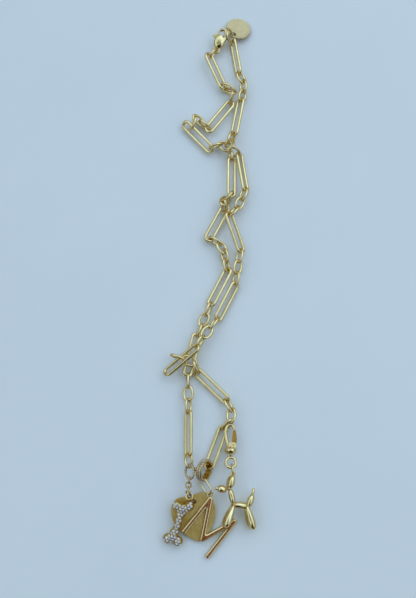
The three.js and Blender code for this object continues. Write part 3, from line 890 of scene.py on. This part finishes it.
# The bone's bail: three tiny links in a row. Outer length and width, then the placement.
BAIL_LINKS = (
    (3.1, 2.7, (-7.0, -70.65, 5.15, -97, 0, 90)),
    (2.7, 2.6, (-7.3, -72.4, 5.3, -88, 0, 0)),
    (3.8, 2.8, (-6.95, -74.55, 5.3, -80, 0, 90)),
)


class NECKLACE_OT_charm_holder(bpy.types.Operator):
    """Models the charm holder: a stone-set band, its small set loop and the set bail"""

    bl_idname = "necklace.charm_holder"
    bl_label = "Charm Holder"

    def execute(self, context):
        stone = context.scene.necklace_charms.small_stone
        home = Matrix.Translation(LAYOUT_ZERO)
        band_place = (home @ shifted(-1.4, -66.9, 4.0)
                      @ spun(-14, "Z") @ spun(4, "X") @ spun(60, "Y"))
        loop_place = home @ shifted(-6.8, -67.5, 5.3) @ spun(-40, "Y")
        band = turned("holder_band", [(3.3, -0.95), (3.4, -1.05), (4.05, -1.05), (4.18, -0.9),
                                      (4.18, 0.9), (4.05, 1.05), (3.4, 1.05), (3.3, 0.95),
                                      (3.3, -0.95)], 64)
        lining = turned("holder_lining", [(3.0, -0.9), (3.05, -1.0), (3.35, -1.0), (3.35, 1.0),
                                          (3.05, 1.0), (3.0, 0.9), (3.0, -0.9)], 64)
        for piece in (band, lining):
            modified(piece, "SIMPLE_DEFORM", deform_method="TAPER", factor=-2 * BAND_FLARE,
                     deform_axis="Y", lock_x=True)
            smooth(piece, 35)
        handed_over(lining, band_place, spring_gold(), ["holder"])
        outside = set_round_band("holder_band", 4.14, (-0.48, 0.48), BAND_STONES, stone,
                                 BAND_FLARE)
        rim = set_round_face("holder_rim", 3.74, 1.03, BAND_STONES, 0.7, BAND_FLARE)
        loop = oval_ring("holder_loop", length=6.2, width=5.0, wire=0.8)
        crown = set_round_face("holder_loop", 2.1, 0.36, count=18, stone_width=0.6)
        for piece in crown:
            resized(piece, (1.0, 1.28, 1.0))
        seam = moved(ball("holder_seam", 0.7), home @ shifted(-4.7, -66.7, 6.7))
        for piece in (band, *outside, *rim):
            moved(piece, band_place)
        for piece in (loop, *crown):
            moved(piece, loop_place)
        metalwork = joined("holder_metal", [band, loop, seam, outside[1], rim[1], crown[1]])
        jewels = joined("holder_stones", [outside[0], rim[0], crown[0]])
        jewelled(metalwork, jewels, Matrix(), "holder")
        self.bail()
        return {"FINISHED"}

    def bail(self):
        """Three links, the flat middle one with stones round its face."""
        parts = []
        for length, width, place in BAIL_LINKS:
            link = oval_ring("bail_link", length, width, BAIL_WIRE)
            parts.append(moved(link, lay(*place)))
        middle = lay(*BAIL_LINKS[1][2])
        gems, grains = [moved(piece, middle) for piece in
                        set_round_face("bail", 1.05, 0.2, count=9, stone_width=0.5)]
        metalwork = joined("bone_bail_wire", [*parts, grains])
        jewelled(metalwork, gems, Matrix(), "bone_bail")


# ---- swivel clasp
class NECKLACE_OT_swivel_clasp(bpy.types.Operator):
    """Models the swivel clasp: a hook in a turned collar, its gate, and the turning eye"""

    bl_idname = "necklace.swivel_clasp"
    bl_label = "Swivel Clasp"

    def execute(self, context):
        placed = lay(8.6, -59.6, 3.3, heading=90, rise=-4, roll=4)
        upright = spun(-90, "X")
        hook = bent_wire("swivel_arm", [(-0.5, 0.8), (-1.2, 2.6), (-1.8, 5.2), (-1.9, 7.4),
                                        (-1.2, 9.2), (0.0, 9.6), (1.1, 8.9), (1.4, 7.7)],
                         radius=0.6, sizes=[1.3, 1.15, 1.05, 1.0, 1.0, 1.0, 0.95, 0.8])
        collar = turned("swivel_collar", [
            (0.8, -1.3), (1.4, -1.35), (1.6, -1.2), (2.15, -0.6), (2.25, -0.4), (2.25, 0.3),
            (2.1, 0.5), (1.5, 1.15), (1.3, 1.25), (0, 1.25), (0, 0.2), (0.8, 0.2),
            (0.8, -1.3)], 40)
        moved(collar, upright)
        cheeks = plate("swivel_cheeks", [(-1.0, 0.8), (1.9, 0.8), (1.9, 2.4), (1.5, 2.8),
                                         (-1.0, 2.8)], thick=2.4, edge=0)
        slot = plate("swivel_slot", [(0.0, 1.3), (0.0, 4), (3, 4), (3, 1.3)], thick=1.3, edge=0)
        pierced(cheeks, slot)
        pin = rivet("swivel_pin", 0.35, reach=1.35, chamfer=0.05, steps=12, at=(1.1, 2.15))
        body = joined("swivel_hook_cast", [hook, collar, cheeks, pin])
        cast(body, grain=0.08, rounds=4)
        polished(body, placed, ["swivel_hook"])
        gate = plate("swivel_gate_cast", [
            (0.45, 1.8), (0.9, 1.4), (1.6, 1.45), (2.1, 2.2), (2.35, 4.5), (2.1, 7.2),
            (1.9, 7.5), (1.05, 7.5), (0.9, 7.2), (0.65, 4.5), (0.4, 2.7)], thick=0.9,
            edge=0.25)
        handed_over(gate, placed, spring_gold(), ["swivel_gate"], "gate")
        eye = wire_ring("swivel_eye_ring", length=4.95, width=4.9, wire=1.1, bends=16)
        moved(eye, shifted(0, -4.6))
        stem = turned("swivel_stem", [(0, -2.9), (0.5, -2.9), (0.5, -1.6), (0.62, -1.45),
                                      (0.5, -1.3), (0.5, -0.3), (0, -0.3)], 20)
        moved(stem, upright)
        turning = joined("swivel_eye_cast", [eye, stem])
        polished(turning, placed, ["swivel_eye"], "eye")
        return {"FINISHED"}


# ---- charms
# Balloons of the dog: both ends, width, how far each of two alike lies from the dog's middle
# plane (0 for a single one), and how much the far end swells.
DOG_BALLOONS = (
    ((9.0, -68.8), (7.6, -73.6), 2.5, 1.1, 0.0),  # ears
    ((6.9, -74.0), (3.1, -73.7), 2.9, 0, 0.1),  # head
    ((3.4, -73.7), (2.1, -73.5), 1.2, 0, -0.2),  # snout
    ((7.9, -73.7), (9.5, -79.6), 2.2, 0, 0.0),  # neck
    ((8.9, -79.6), (15.2, -79.9), 2.55, 0, 0.0),  # back
    ((9.2, -79.5), (5.9, -87.6), 2.9, 1.2, 0.35),  # front legs
    ((14.1, -79.9), (16.8, -88.6), 2.9, 1.2, 0.3),  # hind legs
    ((15.0, -80.4), (16.8, -75.7), 2.4, 0, 0.0),  # tail
    ((16.6, -76.2), (17.3, -73.4), 1.2, 0, 0.0),  # tail tip
)
# Knots between them: place, width and depth.
DOG_KNOTS = [(7.4, -73.7, 1.3, 2.8), (9.2, -79.4, 1.3, 3.0), (14.6, -80.1, 1.3, 3.0),
             (16.7, -76.0, 0.8, 0.8)]


def balloon(name, fuller):
    """A long balloon from z -0.5 to 0.5, 1 wide; fuller swells its upper end."""
    profile, steps = [], 14
    for i in range(steps + 1):
        t = -cos(pi * i / steps)
        radius = 0.5 * max(0.0, 1 - abs(t) ** 2.4) ** 0.5 * (1 + fuller * t)
        profile.append((0.0 if i in (0, steps) else radius, t / 2))
    return turned(name, profile, 24)


class NECKLACE_OT_balloon_dog(bpy.types.Operator):
    """Models the balloon dog from swollen balloons, knots and a loop on its ears"""

    bl_idname = "necklace.balloon_dog"
    bl_label = "Balloon Dog"

    def execute(self, context):
        parts = []
        for number, (start, end, width, pair, fuller) in enumerate(DOG_BALLOONS):
            start, end = Vector((*start, 0)), Vector((*end, 0))
            width /= 1 + max(0.0, fuller) * 0.35  # a fuller balloon is this much wider
            for side in ((-1, 1) if pair else (0,)):
                part = balloon(f"dog_balloon_{number}_{side + 1}", fuller)
                aside = Vector((0, 0, side * pair))
                placed = standing((start + end) / 2 + aside, end - start)
                placed @= Matrix.Diagonal((width, width, (end - start).length, 1))
                parts.append(moved(part, placed))
        for x, y, width, depth in DOG_KNOTS:
            parts.append(ball("dog_knot", width / 2, (x, y, 0), (1, 1, depth / width)))
        loop = wire_ring("dog_loop", length=2.42, width=2.4, wire=0.56)
        parts.append(moved(loop, shifted(9.1, -68.6)))
        dog = joined("balloon_dog", parts)
        placed = tilted((16, -88), 2.85, 13.5, "Y")
        polished(dog, placed, ["dog"])
        return {"FINISHED"}


# The ends and bends of the letter's one bar.
LETTER_BENDS = [(-9.3, -89.1), (0.7, -77.1), (-2.2, -91.9), (10.1, -85.5), (-0.4, -98.3)]


def bar_outline(bends, width, overrun):
    """The outline of a zigzag bar: sharp inside each bend, and blunt outside it, where the
    bar overruns the bend."""
    points = [Vector(bend) for bend in bends]
    ways = [(b - a).normalized() for a, b in zip(points, points[1:])]
    sides = {1: [], -1: []}
    for side, corners in sides.items():
        offsets = [Vector((-way.y, way.x)) * side * width / 2 for way in ways]
        corners.append(points[0] + offsets[0] - ways[0] * overrun)
        for i in range(1, len(ways)):
            before, after = offsets[i - 1], offsets[i]
            turn = ways[i - 1].cross(ways[i])
            if turn * side > 0:
                middle = (before + after).normalized()
                corners.append(points[i] + middle * (width / 2) / middle.dot(before.normalized()))
            else:
                corners.append(points[i] + before + ways[i - 1] * overrun)
                corners.append(points[i] + after - ways[i] * overrun)
        corners.append(points[-1] + offsets[-1] + ways[-1] * overrun)
    return sides[1] + sides[-1][::-1]


class NECKLACE_OT_letter_charm(bpy.types.Operator):
    """Models the letter M from one zigzag bar with rounded edges, and its eye"""

    bl_idname = "necklace.letter_charm"
    bl_label = "Letter Charm"

    def execute(self, context):
        sizes = context.scene.necklace_charms
        outline = bar_outline(LETTER_BENDS, sizes.letter_bar, overrun=0.45)
        bar = plate("letter_bars", outline, sizes.letter_thick, edge=0.74, segments=6)
        eye = wire_ring("letter_eye", length=2.92, width=2.9, wire=0.6)
        moved(eye, shifted(0.6, -75.9))
        letter = joined("letter_m", [bar, eye])
        placed = tilted(LETTER_BENDS[-1], 1.05, 12.5, Vector((0.64, 0.77, 0)))
        polished(letter, placed, ["letter_charm"])
        return {"FINISHED"}


def bezier(a, b, c, d, steps):
    """Points on a curve from a to d, without its start."""
    made = []
    for i in range(1, steps + 1):
        t = i / steps
        u = 1 - t
        made.append(tuple(u ** 3 * a[k] + 3 * u * u * t * b[k] + 3 * u * t * t * c[k]
                          + t ** 3 * d[k] for k in (0, 1)))
    return made


class NECKLACE_OT_heart_charm(bpy.types.Operator):
    """Models the brushed heart: a plate with soft edges and a hole in one lobe"""

    bl_idname = "necklace.heart_charm"
    bl_label = "Heart Charm"

    def execute(self, context):
        half = [(0, 6.2), *bezier((0, 6.2), (0.8, 7.8), (4.2, 8.9), (6.5, 6.9), 12),
                *bezier((6.5, 6.9), (10.0, 3.8), (8.6, -4.4), (0.8, -9.2), 20)]
        left = [(-x, y) for x, y in reversed(half[1:])]
        thick = context.scene.necklace_charms.heart_thick
        heart = plate("brushed_heart", half + left, thick, edge=0)
        drilled(heart, 0.8, 1.1, 5.2)
        rounded(heart, 0.32, angle=50)
        placed = lay(-5.0, -83.8, 1.38, heading=104, rise=5)
        handed_over(heart, placed, brushed_gold(), ["heart_charm"])
        return {"FINISHED"}


# The bone's lobes, two ends of four: place and radius.
BONE_LOBES = [(-11.5, -79.4, 1.75), (-6.6, -79.6, 1.75), (-9.2, -80.5, 2.1),
              (-9.9, -82.4, 1.75), (-12.4, -89.3, 1.7),
              (-14.9, -91.6, 1.85), (-11.1, -92.6, 1.8), (-12.9, -90.9, 1.95)]
# The steps of the stones' pattern along and across the bone, as shares of a stone's width.
ALONG_STEP, ACROSS_STEP = 0.93, 1.07


def bone_places(bone, width):
    """Where stones and beads sit on the bone: a close pattern over its top."""
    start, end = Vector((-9.0, -79.6, 0)), Vector((-13.0, -92.2, 0))
    along = (end - start).normalized()
    across = Vector((-along.y, along.x, 0))
    stones, beads = [], []

    def dropped(kept, spot, steepest, lift):
        """Keeps a placement on the bone above a spot, unless its skin is too steep there."""
        hit, point, normal, _ = bone.ray_cast(spot + Vector((0, 0, 9)), Vector((0, 0, -1)))
        if hit and normal.z > steepest:
            kept.append(standing(point + normal * lift, normal))

    for row in range(-2, 15):
        for column in range(-5, 6):
            shift = 0.5 if row % 2 else 0.0
            spot = (start + along * row * width * ALONG_STEP
                    + across * (column + shift) * width * ACROSS_STEP)
            dropped(stones, spot, steepest=0.5, lift=0.06)
            beside = spot + across * width * ACROSS_STEP / 2
            for side in (-1, 1):
                place = beside + along * side * width * 0.3
                dropped(beads, place, steepest=0.4, lift=0.05)
    return stones, beads


class NECKLACE_OT_dog_bone(bpy.types.Operator):
    """Models the dog bone: a cast body with lobes, its loop, and a cover of set stones"""

    bl_idname = "necklace.dog_bone"
    bl_label = "Dog Bone"

    def execute(self, context):
        width = context.scene.necklace_charms.stone
        parts = [ball("bone_lobe", radius, (x, y, 0), (1, 1, 0.85)) for x, y, radius in BONE_LOBES]
        shaft = balloon("bone_shaft", 0.0)
        start, end = Vector((-8.9, -79.2, 0)), Vector((-13.1, -92.6, 0))
        placed = standing((start + end) / 2, end - start)
        parts.append(moved(shaft, placed @ Matrix.Diagonal((2.75, 2.75, (end - start).length, 1))))
        bone = joined("bone_cast", parts)
        cast(bone, grain=0.16, rounds=4)
        bpy.context.view_layer.update()
        gems, grains = stones_and_beads("bone", width, *bone_places(bone, width))
        loop = wire_ring("bone_loop", length=2.12, width=2.1, wire=0.5)
        moved(loop, shifted(-6.2, -77.1) @ spun(100, "Y"))
        metalwork = joined("bone_metal", [bone, loop, grains])
        placed = tilted((-14.4, -91.3), 2.05, 14, Vector((0.83, -0.55, 0)))
        jewelled(metalwork, gems, placed, "bone")
        return {"FINISHED"}


# ---- stage
# Dim things that the gold mirrors: the way to each, its inner and outer half angle in degrees,
# and its colour.
DIM_PATCHES = (
    ((0.0, 0.0, 1.0), 6, 28, "#8E9593"),
    ((-0.38, -0.12, 0.92), 4, 10, "#382B16"),
    ((0.0, -0.8, 0.6), 26, 38, "#302419"),
    ((0.32, -0.33, 0.89), 5, 10, "#693512"),
)
# The sky's colour by height over the horizon, from 0 to 1: warm and dim below, cool above.
SKY = ((0.0, "#6C5719"), (0.28, "#7E7642"), (0.58, "#D1EAFF"))
# The window's middle and width, and the floor's width, in metres.
WINDOW_PLACE, WINDOW_WIDTH = (0.35, 0.45, 0.75), 1.1
FLOOR_WIDTH = 6


class NECKLACE_OT_stage(bpy.types.Operator):
    """Sets the pale floor, the soft light and the camera over the necklace"""

    bl_idname = "necklace.stage"
    bl_label = "Stage"

    def execute(self, context):
        settings = context.scene.necklace_stage
        bpy.ops.mesh.primitive_plane_add(size=FLOOR_WIDTH)
        floor = added("floor")
        floor.data.materials.append(painted_board())
        self.light(context, settings)
        target = LAYOUT_ZERO / 1000
        rise = settings.elevation
        back = Vector((0, -cos(rise), sin(rise))) * settings.distance
        bpy.ops.object.camera_add(location=target + back, rotation=(pi / 2 - rise, 0, 0))
        camera = context.object
        camera.data.lens = settings.lens
        camera.data.clip_start = 0.01
        camera.data.clip_end = 20
        context.scene.camera = camera
        context.scene.view_settings.view_transform = "Standard"
        return {"FINISHED"}

    def light(self, context, settings):
        """A cool sky over a dim warm horizon, and one broad window."""
        world = bpy.data.worlds.new("soft_daylight")
        context.scene.world = world
        world.use_nodes = True
        tree = world.node_tree
        tree.nodes.clear()
        way = node(tree, "TexCoord").outputs["Generated"]
        up = node(tree, "SeparateXYZ", {0: way}).outputs["Z"]
        sky = node(tree, "ValToRGB", {0: up})
        stops = sky.color_ramp.elements
        stops.new(0.5)
        for stop, (height, shade) in zip(stops, SKY):
            stop.position, stop.color = height, (*linear(shade), 1)
        colour = sky.outputs["Color"]
        for aim, inner, outer, shade in DIM_PATCHES:
            near = node(tree, "VectorMath", {
                0: way, 1: Vector(aim).normalized()}, operation="DOT_PRODUCT")
            dim = node(tree, "MapRange", {
                "Value": near.outputs["Value"], "From Min": cos(radians(outer)),
                "From Max": cos(radians(inner))}, interpolation_type="SMOOTHSTEP")
            colour = node(tree, "Mix", {
                0: dim.outputs["Result"], 6: colour, 7: (*linear(shade), 1)},
                data_type="RGBA").outputs[2]
        daylight = node(tree, "Background", {
            "Color": colour, "Strength": settings.sky})
        backdrop = node(tree, "Background", {
            "Color": (*settings.backdrop, 1), "Strength": 1.0})
        seen = node(tree, "LightPath").outputs["Is Camera Ray"]
        shown = node(tree, "MixShader", {
            0: seen, 1: daylight.outputs[0], 2: backdrop.outputs[0]})
        node(tree, "OutputWorld", {"Surface": shown.outputs[0]})
        bpy.ops.object.light_add(type="AREA", location=WINDOW_PLACE)
        window = context.object
        window.name = "window"
        window.data.shape = "SQUARE"
        window.data.size = WINDOW_WIDTH
        window.data.color = settings.window_colour
        window.data.energy = settings.window
        window.rotation_euler = window.location.to_track_quat("Z", "Y").to_euler()


class NECKLACE_PT_panel(bpy.types.Panel):
    """Lists the necklace's operators"""

    bl_idname = "NECKLACE_PT_panel"
    bl_label = "Charm Necklace"
    bl_space_type = "VIEW_3D"
    bl_region_type = "UI"
    bl_category = "Necklace"

    def draw(self, context):
        for operator in OPERATORS:
            self.layout.operator(operator.bl_idname)


GROUPS = (
    ("necklace_chain", NecklaceChain),
    ("necklace_charms", NecklaceCharms),
    ("necklace_finish", NecklaceFinish),
    ("necklace_stage", NecklaceStage),
)
OPERATORS = (
    NECKLACE_OT_long_links,
    NECKLACE_OT_small_links,
    NECKLACE_OT_rings,
    NECKLACE_OT_lobster_clasp,
    NECKLACE_OT_tag,
    NECKLACE_OT_charm_holder,
    NECKLACE_OT_swivel_clasp,
    NECKLACE_OT_balloon_dog,
    NECKLACE_OT_letter_charm,
    NECKLACE_OT_heart_charm,
    NECKLACE_OT_dog_bone,
    NECKLACE_OT_stage,
)


def register():
    """Adds the necklace's settings, operators and panel."""
    for name, group in GROUPS:
        bpy.utils.register_class(group)
        setattr(bpy.types.Scene, name, bpy.props.PointerProperty(type=group))
    for operator in OPERATORS:
        bpy.utils.register_class(operator)
    bpy.utils.register_class(NECKLACE_PT_panel)


def unregister():
    """Takes them away again."""
    bpy.utils.unregister_class(NECKLACE_PT_panel)
    for operator in reversed(OPERATORS):
        bpy.utils.unregister_class(operator)
    for name, group in reversed(GROUPS):
        delattr(bpy.types.Scene, name)
        bpy.utils.unregister_class(group)


def main():
    """Makes the whole necklace and its stage."""
    register()
    bpy.ops.object.select_all(action="DESELECT")
    bpy.ops.necklace.long_links()
    bpy.ops.necklace.small_links()
    bpy.ops.necklace.rings()
    bpy.ops.necklace.lobster_clasp()
    bpy.ops.necklace.tag()
    bpy.ops.necklace.charm_holder()
    bpy.ops.necklace.swivel_clasp()
    bpy.ops.necklace.balloon_dog()
    bpy.ops.necklace.letter_charm()
    bpy.ops.necklace.heart_charm()
    bpy.ops.necklace.dog_bone()
    bpy.ops.necklace.stage()


if __name__ == "__main__":
    main()
